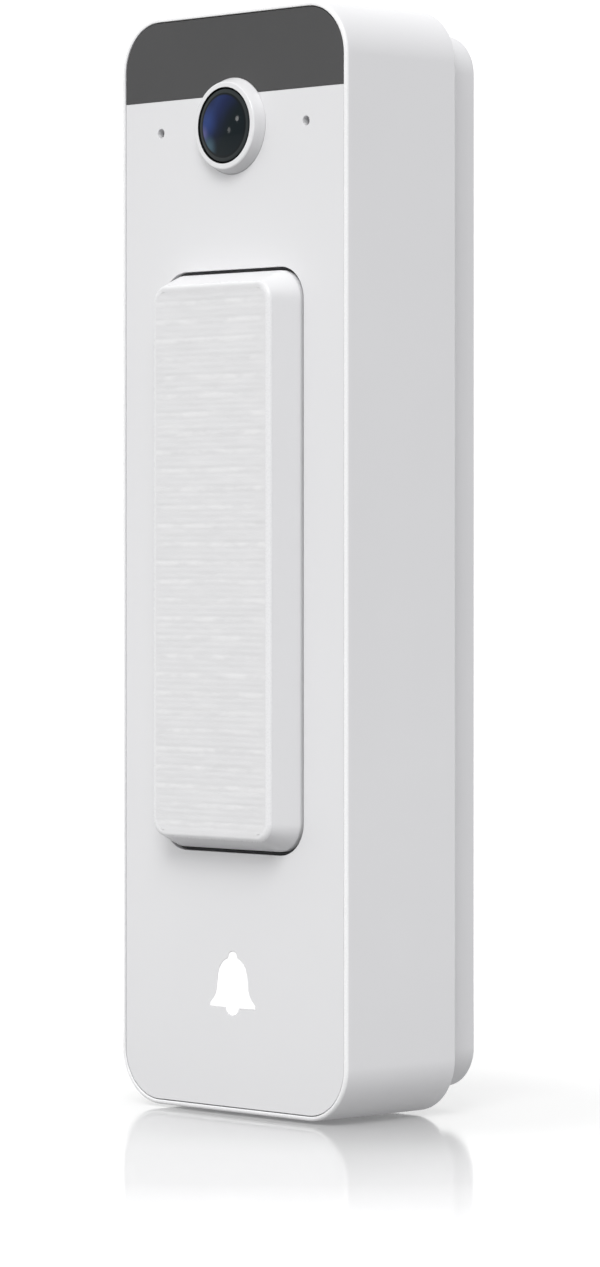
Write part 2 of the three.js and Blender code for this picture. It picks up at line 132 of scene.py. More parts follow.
def turned(profile, n=96, centre=(0.0, 0.0)):
    """A body of revolution about z through (radius, z) points."""
    bm = bmesh.new()
    rows = []
    for r, z in profile:
        if r < 1e-6:
            rows.append([bm.verts.new((centre[0], centre[1], z))] * n)
        else:
            rows.append([bm.verts.new((centre[0] + r * math.cos(2 * math.pi * i / n), centre[1] + r * math.sin(2 * math.pi * i / n), z)) for i in range(n)])
    on_axis = profile[0][0] < 1e-6 and profile[-1][0] < 1e-6
    pairs = list(zip(rows, rows[1:])) + ([] if on_axis else [(rows[-1], rows[0])])
    for a, b in pairs:
        for i in range(n):
            j = (i + 1) % n
            ring = []
            for v in (a[i], a[j], b[j], b[i]):
                if v not in ring:
                    ring.append(v)
            if len(ring) > 2:
                bm.faces.new(ring)
    return bm


def arc(cx, cz, r, a0, a1, n=5):
    return [(cx + r * math.cos(math.radians(a0 + (a1 - a0) * i / n)), cz + r * math.sin(math.radians(a0 + (a1 - a0) * i / n))) for i in range(n + 1)]


def plate(name, loops, z0, z1, bevel, res=3):
    """A flat plate with holes, every edge rounded."""
    cu = bpy.data.curves.new(name, "CURVE")
    cu.dimensions = "2D"
    cu.fill_mode = "BOTH"
    cu.extrude = (z1 - z0) / 2 - bevel
    cu.bevel_depth = bevel
    cu.bevel_resolution = res
    cu.offset = -bevel
    for loop in loops:
        sp = cu.splines.new("POLY")
        sp.points.add(len(loop) - 1)
        for p, (x, y) in zip(sp.points, loop):
            p.co = (x, y, 0, 1)
        sp.use_cyclic_u = True
    tmp = bpy.data.objects.new(name + "_tmp", cu)
    bpy.context.scene.collection.objects.link(tmp)
    me = bpy.data.meshes.new_from_object(tmp.evaluated_get(bpy.context.evaluated_depsgraph_get()))
    bpy.data.objects.remove(tmp)
    bm = bmesh.new()
    bm.from_mesh(me)
    bpy.data.meshes.remove(me)
    bmesh.ops.translate(bm, verts=bm.verts, vec=(0, 0, (z0 + z1) / 2))
    return finish_mesh(name, bm)


def block(x0, x1, y0, y1, z0, z1):
    bm = bmesh.new()
    bmesh.ops.create_cube(bm, size=1.0)
    bmesh.ops.scale(bm, verts=bm.verts, vec=(x1 - x0, y1 - y0, z1 - z0))
    bmesh.ops.translate(bm, verts=bm.verts, vec=((x0 + x1) / 2, (y0 + y1) / 2, (z0 + z1) / 2))
    return bm


def prism(pts, z0, z1, top=None):
    bm = bmesh.new()
    a = [bm.verts.new((x, y, z0)) for x, y in pts]
    b = [bm.verts.new((x, y, z1)) for x, y in (top or pts)]
    for i in range(len(a)):
        j = (i + 1) % len(a)
        bm.faces.new((a[i], a[j], b[j], b[i]))
    bm.faces.new(list(reversed(a)))
    bm.faces.new(b)
    return bm


def prism_y(pts, y0, y1):
    """The same along y, with pts as (x, z)."""
    bm = prism([(x, -z) for x, z in pts], y0, y1)
    bm.transform(Matrix(((1, 0, 0, 0), (0, 0, 1, 0), (0, -1, 0, 0), (0, 0, 0, 1))))
    return bm


def csg(name, base, steps):
    """base bmesh, then ("cut" | "join", [bmesh...]) in turn."""
    o = finish_mesh(name, base)
    for how, bms in steps:
        for bm in bms:
            t = finish_mesh(name + "_tool", bm)
            m = o.modifiers.new("b", "BOOLEAN")
            m.solver = "EXACT"
            m.operation = "DIFFERENCE" if how == "cut" else "UNION"
            m.object = t
            me = bpy.data.meshes.new_from_object(o.evaluated_get(bpy.context.evaluated_depsgraph_get()))
            o.modifiers.clear()
            old, o.data = o.data, me
            bpy.data.meshes.remove(old)
            tm = t.data
            bpy.data.objects.remove(t)
            bpy.data.meshes.remove(tm)
    return o


def tidy(o, bevel=0.0, angle=38.0, segments=2, sharp=None):
    """Merges flat faces, rounds the edges and gives area-weighted smooth shading."""
    bm = bmesh.new()
    bm.from_mesh(o.data)
    bmesh.ops.remove_doubles(bm, verts=bm.verts, dist=2e-7)
    bmesh.ops.dissolve_limit(bm, angle_limit=math.radians(0.6), verts=bm.verts, edges=bm.edges)
    for f in bm.faces:
        f.smooth = True
    for e in bm.edges:
        e.smooth = not (len(e.link_faces) == 2 and e.calc_face_angle(0) > math.radians(sharp or angle) and not bevel)
    bm.to_mesh(o.data)
    bm.free()
    if bevel:
        m = o.modifiers.new("edges", "BEVEL")
        m.width = bevel * MM
        m.segments = segments
        m.limit_method = "ANGLE"
        m.angle_limit = math.radians(angle)
        m.use_clamp_overlap = True
        m.miter_outer = "MITER_ARC"
        m.harden_normals = False
    w = o.modifiers.new("normals", "WEIGHTED_NORMAL")
    w.keep_sharp = True
    w.weight = 80
    return o


def apply_modifiers(o):
    me = bpy.data.meshes.new_from_object(o.evaluated_get(bpy.context.evaluated_depsgraph_get()), preserve_all_data_layers=True, depsgraph=bpy.context.evaluated_depsgraph_get())
    o.modifiers.clear()
    old, o.data = o.data, me
    bpy.data.meshes.remove(old)
    return o


# ------------------------------------------------------------------ materials
def new_mat(name):
    m = bpy.data.materials.new(name)
    m.use_nodes = True
    nt = m.node_tree
    nt.nodes.clear()
    out = nt.nodes.new("ShaderNodeOutputMaterial")
    b = nt.nodes.new("ShaderNodeBsdfPrincipled")
    nt.links.new(b.outputs[0], out.inputs[0])
    return m, nt, b


def coords(nt, scale=1000.0):
    """Object coordinates in millimetres."""
    tc = nt.nodes.new("ShaderNodeTexCoord")
    mp = nt.nodes.new("ShaderNodeMapping")
    mp.inputs["Scale"].default_value = (scale, scale, scale)
    nt.links.new(tc.outputs["Object"], mp.inputs[0])
    return mp.outputs[0]


def noise(nt, vec, scale, detail=2.0, rough=0.5):
    n = nt.nodes.new("ShaderNodeTexNoise")
    n.inputs["Scale"].default_value = scale
    n.inputs["Detail"].default_value = detail
    n.inputs["Roughness"].default_value = rough
    nt.links.new(vec, n.inputs["Vector"])
    return n.outputs["Fac"]


def ramp(nt, fac, stops):
    r = nt.nodes.new("ShaderNodeValToRGB")
    while len(r.color_ramp.elements) < len(stops):
        r.color_ramp.elements.new(0.5)
    for e, (p, c) in zip(r.color_ramp.elements, stops):
        e.position = p
        e.color = (*c, 1) if len(c) == 3 else c
    nt.links.new(fac, r.inputs[0])
    return r.outputs[0]


def spread(nt, fac, lo, hi):
    m = nt.nodes.new("ShaderNodeMapRange")
    m.inputs["From Min"].default_value = 0.3
    m.inputs["From Max"].default_value = 0.7
    m.inputs["To Min"].default_value = lo
    m.inputs["To Max"].default_value = hi
    nt.links.new(fac, m.inputs[0])
    return m.outputs[0]


def bump(nt, b, height, strength, dist):
    n = nt.nodes.new("ShaderNodeBump")
    n.inputs["Strength"].default_value = strength
    n.inputs["Distance"].default_value = dist
    nt.links.new(height, n.inputs["Height"])
    nt.links.new(n.outputs[0], b.inputs["Normal"])


def plastic(name, colour, rough, grain=7.0, depth=0.004, vary=0.015, spec=0.5, coat=0.0, sss=0.0):
    """Moulded plastic: a faint drift of tone, spark-eroded grain in the bump and uneven gloss."""
    m, nt, b = new_mat(name)
    v = coords(nt)
    big, fine = noise(nt, v, 0.05, 3), noise(nt, v, grain, 2, 0.6)
    c = Vector(colour)
    nt.links.new(ramp(nt, big, [(0.3, tuple(c * (1 - vary))), (0.7, tuple(min(1.0, k * (1 + vary)) for k in c))]), b.inputs["Base Color"])
    nt.links.new(spread(nt, noise(nt, v, grain * 0.5, 3), rough - 0.04, rough + 0.04), b.inputs["Roughness"])
    b.inputs["Specular IOR Level"].default_value = spec
    b.inputs["Coat Weight"].default_value = coat
    b.inputs["Coat Roughness"].default_value = 0.08
    if sss:
        b.inputs["Subsurface Weight"].default_value = sss
        b.inputs["Subsurface Radius"].default_value = (1.0, 1.0, 1.0)
        b.inputs["Subsurface Scale"].default_value = 0.001
    bump(nt, b, fine, 0.35, depth * MM)
    return m


def metal(name, colour, rough, brushed=(1, 1, 14)):
    m, nt, b = new_mat(name)
    v = coords(nt)
    mp = nt.nodes.new("ShaderNodeMapping")
    mp.inputs["Scale"].default_value = brushed
    nt.links.new(v, mp.inputs[0])
    n = noise(nt, mp.outputs[0], 1.5, 4, 0.7)
    c = Vector(colour)
    nt.links.new(ramp(nt, n, [(0.3, tuple(c * 0.86)), (0.7, tuple(c))]), b.inputs["Base Color"])
    nt.links.new(spread(nt, n, rough - 0.08, rough + 0.1), b.inputs["Roughness"])
    b.inputs["Metallic"].default_value = 1.0
    bump(nt, b, n, 0.25, 0.01 * MM)
    return m


def glass(name, colour, rough, ior=1.46):
    m, nt, b = new_mat(name)
    v = coords(nt)
    nt.links.new(ramp(nt, noise(nt, v, 0.6, 2), [(0.35, tuple(Vector(colour) * 0.96)), (0.65, colour)]), b.inputs["Base Color"])
    b.inputs["Transmission Weight"].default_value = 1.0
    b.inputs["Roughness"].default_value = rough
    b.inputs["IOR"].default_value = ior
    return m


def board_mat(name):
    """Solder mask with copper showing through as faint traces."""
    m, nt, b = new_mat(name)
    v = coords(nt)
    br = nt.nodes.new("ShaderNodeTexBrick")
    br.inputs["Scale"].default_value = 0.35
    br.inputs["Color1"].default_value = (0.012, 0.075, 0.035, 1)
    br.inputs["Color2"].default_value = (0.016, 0.10, 0.045, 1)
    br.inputs["Mortar"].default_value = (0.03, 0.16, 0.07, 1)
    br.inputs["Mortar Size"].default_value = 0.03
    sep = nt.nodes.new("ShaderNodeMapping")
    sep.inputs["Rotation"].default_value = (math.radians(90), 0, 0)
    nt.links.new(v, sep.inputs[0])
    nt.links.new(sep.outputs[0], br.inputs["Vector"])
    nt.links.new(br.outputs["Color"], b.inputs["Base Color"])
    nt.links.new(spread(nt, noise(nt, v, 1.2, 3), 0.32, 0.44), b.inputs["Roughness"])
    bump(nt, b, br.outputs["Fac"], 0.3, 0.02 * MM)
    return m


def lens_painted_reflection_mat(name):
    """Coated dome over the camera: near black, with a painted reflection in the blue, violet and teal of its coating
    towards the upper left, dark towards the lower right, and a dark border.
    """
    m, nt, b = new_mat(name)
    tc = nt.nodes.new("ShaderNodeTexCoord")
    sx = nt.nodes.new("ShaderNodeSeparateXYZ")
    nt.links.new(tc.outputs["Object"], sx.inputs[0])

    def madd(a, k, c):
        n = nt.nodes.new("ShaderNodeMath")
        n.operation = "MULTIPLY_ADD"
        nt.links.new(a, n.inputs[0])
        n.inputs[1].default_value = k
        if isinstance(c, float):
            n.inputs[2].default_value = c
        else:
            nt.links.new(c, n.inputs[2])
        return n.outputs[0]

    def term(vec, radius, power=1.0):
        """1 at a point of the lens, falling to 0 at a distance from it."""
        sub = nt.nodes.new("ShaderNodeVectorMath")
        sub.operation = "DISTANCE"
        nt.links.new(flat.outputs[0], sub.inputs[0])
        sub.inputs[1].default_value = (vec[0] * MM, 0, (LENS_Y + vec[1]) * MM)
        r = nt.nodes.new("ShaderNodeMapRange")
        r.interpolation_type = "SMOOTHSTEP"
        r.inputs["From Min"].default_value = radius * MM
        r.inputs["From Max"].default_value = 0.0
        nt.links.new(sub.outputs["Value"], r.inputs[0])
        return madd(r.outputs[0], power, 0.0)

    def over(base, fac, colour):
        mix = nt.nodes.new("ShaderNodeMix")
        mix.data_type = "RGBA"
        nt.links.new(fac, mix.inputs["Factor"])
        if isinstance(base, tuple):
            mix.inputs["A"].default_value = (*base, 1)
        else:
            nt.links.new(base, mix.inputs["A"])
        mix.inputs["B"].default_value = (*colour, 1)
        return mix.outputs["Result"]

    flat = nt.nodes.new("ShaderNodeCombineXYZ")
    nt.links.new(sx.outputs["X"], flat.inputs["X"])
    nt.links.new(sx.outputs["Z"], flat.inputs["Z"])
    # across: 0 on the lower right, 1 on the upper left; the painted reflection is near black at 0 and blue towards 1
    up = madd(sx.outputs["Z"], 62.0, 0.5 - 62.0 * LENS_Y * MM)
    across = madd(sx.outputs["X"], -82.0, up)
    wob = noise(nt, coords(nt), 0.35, 1)
    across = madd(wob, 0.12, madd(across, 1.0, -0.06))
    painted_reflection = ramp(nt, across, [(0.0, (0.007, 0.012, 0.015)), (0.36, (0.005, 0.011, 0.014)), (0.46, (0.006, 0.011, 0.022)), (0.56, (0.008, 0.015, 0.045)), (0.68, (0.010, 0.018, 0.072)), (0.82, (0.014, 0.028, 0.105)), (1.0, (0.010, 0.018, 0.06))])
    # painted reflection patches: blue, violet and teal on the left of the dome
    painted_reflection = over(painted_reflection, term((-3.6, 0.6), 3.2, 0.85), (0.024, 0.055, 0.21))
    painted_reflection = over(painted_reflection, term((-4.6, -1.2), 1.9, 0.95), (0.125, 0.125, 0.30))
    painted_reflection = over(painted_reflection, term((-3.2, -3.0), 2.2, 0.9), (0.065, 0.13, 0.17))
    # border: a grey ring with a fine dark line inside it
    out = nt.nodes.new("ShaderNodeVectorMath")
    out.operation = "DISTANCE"
    nt.links.new(flat.outputs[0], out.inputs[0])
    out.inputs[1].default_value = (0, 0, LENS_Y * MM)
    edge = madd(out.outputs["Value"], 1.0 / (6.0 * MM), 0.0)
    line = ramp(nt, edge, [(0.0, (0, 0, 0)), (0.715, (0, 0, 0)), (0.755, (1, 1, 1)), (1.0, (1, 1, 1))])
    tone = ramp(nt, edge, [(0.0, (0.006, 0.009, 0.011)), (0.775, (0.006, 0.009, 0.011)), (0.80, (0.034, 0.040, 0.041)), (0.86, (0.028, 0.034, 0.036)), (0.88, (0.010, 0.013, 0.014)), (1.0, (0.010, 0.013, 0.014))])
    fin = nt.nodes.new("ShaderNodeMix")
    fin.data_type = "RGBA"
    nt.links.new(line, fin.inputs["Factor"])
    nt.links.new(painted_reflection, fin.inputs["A"])
    nt.links.new(tone, fin.inputs["B"])
    nt.links.new(fin.outputs["Result"], b.inputs["Base Color"])
    b.inputs["Roughness"].default_value = 0.05
    b.inputs["Specular IOR Level"].default_value = 0.1
    return m


def pad_mat(name):
    """Closely woven white texture: uneven threads along x, with a painted highlight that makes the colour brighter
    where they ride up.
    """
    m, nt, b = new_mat(name)
    v = coords(nt)
    mp = nt.nodes.new("ShaderNodeMapping")
    mp.inputs["Scale"].default_value = (0.16, 0.16, 0.78)
    nt.links.new(v, mp.inputs[0])
    streak = noise(nt, mp.outputs[0], 1.0, 3, 0.6)
    mp2 = nt.nodes.new("ShaderNodeMapping")
    mp2.inputs["Scale"].default_value = (1.4, 1.4, 5.0)
    nt.links.new(v, mp2.inputs[0])
    thread = noise(nt, mp2.outputs[0], 1.0, 2, 0.5)
    rows = nt.nodes.new("ShaderNodeTexWave")
    rows.wave_type = "BANDS"
    rows.bands_direction = "Z"
    rows.wave_profile = "SIN"
    rows.inputs["Scale"].default_value = 2 * math.pi / (20 * 2.7)
    rows.inputs["Distortion"].default_value = 0.8
    rows.inputs["Detail Scale"].default_value = 0.3
    nt.links.new(v, rows.inputs["Vector"])
    mp3 = nt.nodes.new("ShaderNodeMapping")
    mp3.inputs["Scale"].default_value = (0.22, 0.22, 0.42)
    nt.links.new(v, mp3.inputs[0])
    dash = noise(nt, mp3.outputs[0], 1.0, 2, 0.65)
    # painted highlight: lighter colour on the raised bands, where the dashes fall
    on = ramp(nt, rows.outputs["Fac"], [(0.0, (0, 0, 0)), (0.70, (0, 0, 0)), (0.98, (1, 1, 1))])
    where = ramp(nt, dash, [(0.0, (0, 0, 0)), (0.42, (0, 0, 0)), (0.62, (1, 1, 1))])
    both = nt.nodes.new("ShaderNodeMath")
    both.operation = "MULTIPLY"
    nt.links.new(on, both.inputs[0])
    nt.links.new(where, both.inputs[1])
    ground = ramp(nt, streak, [(0.34, (0.765, 0.765, 0.772)), (0.55, (0.785, 0.785, 0.793)), (0.70, (0.805, 0.805, 0.81))])
    mixc = nt.nodes.new("ShaderNodeMix")
    mixc.data_type = "RGBA"
    nt.links.new(both.outputs[0], mixc.inputs["Factor"])
    nt.links.new(ground, mixc.inputs["A"])
    mixc.inputs["B"].default_value = (0.845, 0.845, 0.85, 1)
    nt.links.new(mixc.outputs["Result"], b.inputs["Base Color"])
    nt.links.new(spread(nt, thread, 0.55, 0.72), b.inputs["Roughness"])
    b.inputs["Sheen Weight"].default_value = 0.15
    bump(nt, b, thread, 0.5, 0.03 * MM)
    return m


def rising_mat(name, z0, z1, stops):
    """Moulded plastic whose base colour is graded with height. This is painted shading for this studio's light, not a property of the plastic."""
    m, nt, b = new_mat(name)
    v = coords(nt)
    sep = nt.nodes.new("ShaderNodeSeparateXYZ")
    nt.links.new(v, sep.inputs[0])
    mr = nt.nodes.new("ShaderNodeMapRange")
    mr.inputs["From Min"].default_value = z0
    mr.inputs["From Max"].default_value = z1
    nt.links.new(sep.outputs["Z"], mr.inputs[0])
    nt.links.new(ramp(nt, mr.outputs[0], [(at, (k, k, k + 0.01)) for at, k in stops]), b.inputs["Base Color"])
    nt.links.new(spread(nt, noise(nt, v, 4, 3), 0.28, 0.36), b.inputs["Roughness"])
    return m


def lit(name):
    """Milky light pipe with its indicator on."""
    m, nt, b = new_mat(name)
    v = coords(nt)
    nt.links.new(ramp(nt, noise(nt, v, 0.4, 2), [(0.3, (0.93, 0.93, 0.93)), (0.7, (0.97, 0.97, 0.97))]), b.inputs["Base Color"])
    nt.links.new(spread(nt, noise(nt, v, 4, 2), 0.22, 0.3), b.inputs["Roughness"])
    b.inputs["Emission Color"].default_value = (1, 1, 1, 1)
    b.inputs["Emission Strength"].default_value = 0.22
    return m


MATS = {
    "white_shell": plastic("white_shell", (0.79, 0.79, 0.80), 0.36, vary=0.008),
    # painted highlight: the shell's plastic made lighter and glossier, for the bright line along the housing's front
    # rim
    "rim_painted_highlight": plastic("rim_painted_highlight", (0.93, 0.93, 0.935), 0.26, grain=9, depth=0.001, vary=0.004, coat=0.3),
    # painted shade: the shell's white plastic made a little darker for the bracket, which sits further back
    "bracket_painted_shade": plastic("bracket_painted_shade", (0.745, 0.745, 0.755), 0.45, vary=0.008),
    "front_panel": plastic("front_panel", (0.80, 0.80, 0.81), 0.38, grain=9, depth=0.003, vary=0.006),
    "window": plastic("window", (0.052, 0.052, 0.053), 0.22, grain=5, depth=0.001, vary=0.05, spec=0.4),
    "collar": plastic("collar", (0.82, 0.82, 0.83), 0.22, grain=9, depth=0.001, vary=0.008, coat=0.3),
    # painted shade: the collar's flank is darker low down and lighter high up
    "collar_flank": rising_mat("collar_flank", LENS_Y - 7, LENS_Y + 7, [(0.10, 0.60), (0.45, 0.68), (0.80, 0.84)]),
    # the cover glass carries a painted reflection of the studio in its colour
    "cover_glass": lens_painted_reflection_mat("cover_glass"),
    "lens_glass": glass("lens_glass", (0.80, 0.86, 1.0), 0.0),
    "black_plastic": plastic("black_plastic", (0.016, 0.016, 0.018), 0.42, grain=6, depth=0.004, vary=0.15),
    # painted shade: the button's walls are darker at the bottom and lighter at the top
    "button_plastic": rising_mat("button_plastic", MID - 42, MID + 42, [(0.03, 0.70), (0.045, 0.748), (0.94, 0.755), (0.985, 0.82)]),
    # painted highlight: the button's plastic made lighter for its rolled-over front edge
    "button_edge_painted_highlight": plastic("button_edge_painted_highlight", (0.835, 0.835, 0.845), 0.28, grain=9, depth=0.001, vary=0.004),
    "lens_black": plastic("lens_black", (0.010, 0.012, 0.012), 0.24, grain=6, depth=0.001, vary=0.15, spec=0.5),
    "button_pad": pad_mat("button_pad"),
    "carrier": plastic("carrier", (0.06, 0.06, 0.065), 0.5, vary=0.1),
    "rubber": plastic("rubber", (0.02, 0.02, 0.022), 0.7, grain=4, depth=0.01, vary=0.15),
    "light_pipe": lit("light_pipe"),
    "board": board_mat("board"),
    "steel": metal("steel", (0.58, 0.59, 0.61), 0.3),
    "brass": metal("brass", (0.72, 0.53, 0.25), 0.3),
    "chip": plastic("chip", (0.02, 0.02, 0.022), 0.45, grain=5, depth=0.006, vary=0.1),
    "grey_plastic": plastic("grey_plastic", (0.2, 0.205, 0.22), 0.5, vary=0.05),
    "aluminium_can": metal("aluminium_can", (0.72, 0.72, 0.74), 0.35, (14, 14, 1)),
    "filter_glass": glass("filter_glass", (0.45, 0.78, 0.82), 0.02),
    "led_lens": plastic("led_lens", (0.80, 0.80, 0.76), 0.12, grain=3, depth=0.001, coat=0.5, sss=0.3),
}
SLOT = {s["node"]: s["material_slot"] for s in frame["record"]["subparts"]}
BODY = {n: b for b, ns in frame["record"]["behaviour"]["bodies"].items() for n in ns}
made = set()


def piece(o, node, look=None):
    """Gives a finished piece its material, its body and the CAD node that it stands for."""
    o.name = "v_" + node
    slot = SLOT[node]
    o.data.materials.clear()
    o.data.materials.append(MATS[look or slot])
    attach(o, BODY[node])
    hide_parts(node)
    made.add(node)
    return o


# ------------------------------------------------------------------ housing
def housing_outline(d):
    return inset(d, R - d)


def build_housing():
    f = 0.38
    profile = (
        arc(f, -D + f, f, 270, 180, 4)
        + arc(0.42, -0.42, 0.42, 180, 90, 5)
        + arc(0.52, -0.12, 0.12, 90, 0, 3)
        + [(0.64, -1.85), (2.0, -1.85), (2.0, -18.0), (3.4, -18.0), (3.4, -19.6), (2.0, -19.6), (2.0, -D + 0.12), (1.88, -D)]
    )
    base = sweep(profile, housing_outline)
    bosses = []
    for x in (-19.3, 19.3):
        for y in (7.5, 152.5):
            bosses.append(prism(circle(x, y, 2.6, 32), -19.59, -10))
    for y in (31, 74, 119):
        for s in (-1, 1):
            bosses.append(block(min(s * 19.9, s * 22.2), max(s * 19.9, s * 22.2), y, y + 6, -12.4, -10.1))
    bosses.append(prism_y(circle(0, -17.5, 3.4, 36), 1.5, 3.6))
    cuts = []
    for x in (-19.3, 19.3):
        for y in (7.5, 152.5):
            cuts.append(prism(circle(x, y, 0.95, 24), -20, -12))
    cuts.append(prism_y(circle(0, -17.5, 1.5, 32), -1, 5))
    cuts.append(prism_y(circle(0, -17.5, 2.7, 48), -1, 1.6))
    for x in (-10, -5, 0, 5, 10):
        slot_pts = [(a, b) for a, b in rr(0.8, 0, 7.0, 0.79, 8)]
        cuts.append(prism_y([(x + a, -11.5 + b) for a, b in slot_pts], -1, 3))
    return csg("main_housing_v", base, [("join", bosses), ("cut", cuts)])


housing = piece(tidy(build_housing(), angle=40), "main_housing")
# painted highlight: the front-most 0.36 mm of the housing gets the lighter rim material
housing.data.materials.append(MATS["rim_painted_highlight"])
for f in housing.data.polygons:
    if f.center.y < Y_RIM + 0.36 * MM:
        f.material_index = 1


# ------------------------------------------------------------------ front panel, window
def notch_outline(hw, y0, y_top, r, lens_r):
    """The panel below the window, with the lens's notch in its upper edge."""
    half = math.sqrt(lens_r ** 2 - (y_top - LENS_Y) ** 2)
    pts = rr(hw, y0, H, r, 16)
    low = [p for p in pts if p[1] < MID]
    left = [p for p in low if p[0] < 0]
    right = [p for p in low if p[0] > 0]
    a0 = math.atan2(y_top - LENS_Y, half)
    ring = []
    n = 60
    for i in range(n + 1):
        a = a0 - (math.pi + 2 * a0) * i / n
        ring.append((lens_r * math.cos(a), LENS_Y + lens_r * math.sin(a)))
    # anticlockwise: lower left, lower right, up, along the top edge to the notch, round it, and back
    return left + right + [(hw, y_top)] + ring + [(-hw, y_top)]


def window_outline(hw, y1, y_low, r, lens_r):
    half = math.sqrt(lens_r ** 2 - (y_low - LENS_Y) ** 2)
    pts = rr(hw, 0, y1, r, 16)
    high = [p for p in pts if p[1] > MID]
    a0 = math.atan2(y_low - LENS_Y, half)
    n = 30
    ring = [(lens_r * math.cos(math.pi - a0 + (2 * a0 - math.pi) * i / n), LENS_Y + lens_r * math.sin(math.pi - a0 + (2 * a0 - math.pi) * i / n)) for i in range(n + 1)]
    return high + [(-hw, y_low)] + ring + [(hw, y_low)]


PHW, PY0, PY1, PR = W / 2 - RIM, RIM, H - RIM, R - RIM
panel_loops = [
    notch_outline(PHW, PY0, WINDOW_Y - 0.02, PR, LENS_R + 0.04),
    centred(BTN_HW + BTN_GAP, BTN_HH + BTN_GAP, 4.9, 14),
    circle(-MIC_X, MIC_Y, MIC_R, 28),
    circle(MIC_X, MIC_Y, MIC_R, 28),
    bell(0.07),
]
piece(tidy(plate("front_panel_v", panel_loops, -1.65, -0.12, 0.07), angle=50), "front_panel")
piece(tidy(plate("tinted_window_v", [window_outline(PHW, PY1, WINDOW_Y + 0.02, PR, LENS_R + 0.04)], -1.65, -0.12, 0.05), angle=50), "tinted_window")
piece(tidy(plate("status_light_pipe_v", [bell(0.0)], -1.6, -0.12, 0.05), angle=50), "status_light_pipe")


# ------------------------------------------------------------------ call button
def lerp(a, b, t):
    return a + (b - a) * t


def build_cap():
    """Tapered walls that roll over into the front face, with a shallow recess for the pad and a hollow back."""
    secs = [(BTN_HW, BTN_HH, 4.4, -2.05), (BTN_HW, BTN_HH, 4.4, -0.5), (BTN_HW, BTN_HH, 4.4, -0.25), (BTN_HW - 0.04, BTN_HH - 0.03, 4.36, 0.15)]
    top = (BTN_FW + 0.12, BTN_FH + 0.32, 2.75, 3.62)
    for i in range(1, 7):
        t = i / 6
        secs.append((lerp(BTN_HW - 0.04, top[0], t), lerp(BTN_HH - 0.03, top[1], t), lerp(4.36, top[2], t), lerp(0.15, top[3], t)))
    for i in range(1, 8):
        a = math.radians(90 * i / 7)
        secs.append((top[0] - 0.62 * (1 - math.cos(a)) - 0.012 * i, top[1] - 0.62 * (1 - math.cos(a)) - 0.012 * i, top[2] - 0.55 * (1 - math.cos(a)), top[3] + 0.68 * math.sin(a)))
    last = secs[-1]
    rec = [(11.70, 39.25, 1.96, 4.29), (11.70, 39.25, 1.96, 3.7)]
    if last[0] < 11.78:
        secs = [s for s in secs if s[0] >= 11.82]
    secs += rec
    bm = bmesh.new()
    rows = [[bm.verts.new((x, y, z)) for x, y in centred(hw, hh, r, 12)] for hw, hh, r, z in secs]
    inner = [(12.0, 39.4, 2.5, 2.4), (12.0, 39.4, 2.5, -2.05)]
    rows_in = [[bm.verts.new((x, y, z)) for x, y in centred(hw, hh, r, 12)] for hw, hh, r, z in inner]
    n = len(rows[0])
    for a, b in list(zip(rows, rows[1:])) + [(rows_in[0], rows_in[1]), (rows_in[1], rows[0])]:
        for i in range(n):
            j = (i + 1) % n
            bm.faces.new((a[i], a[j], b[j], b[i]))
    bm.faces.new(rows[-1])
    bm.faces.new(rows_in[0])
    return finish_mesh("button_cap_v", bm)


cap = piece(tidy(build_cap(), angle=45), "button_cap")
cap.data.materials.append(MATS["button_edge_painted_highlight"])
cap.data.materials.append(MATS["button_pad"])
# front-facing faces of the rolled-over edge get the lighter edge material, a painted highlight; the ends of the recess
# ring get the pad material
for f in cap.data.polygons:
    if f.center.y < Y_RIM - 3.66 * MM and f.center.y > Y_RIM - 4.32 * MM and f.normal.y < -0.25:
        f.material_index = 2 if abs(f.center.z / MM - MID) > 39.3 and f.normal.y < -0.8 else 1


def hash01(*k):
    v = 2166136261
    for q in k:
        v = ((v ^ (q & 0xFFFFFFFF)) * 16777619) & 0xFFFFFFFF
        v ^= v >> 13
    return (v % 100003) / 100003


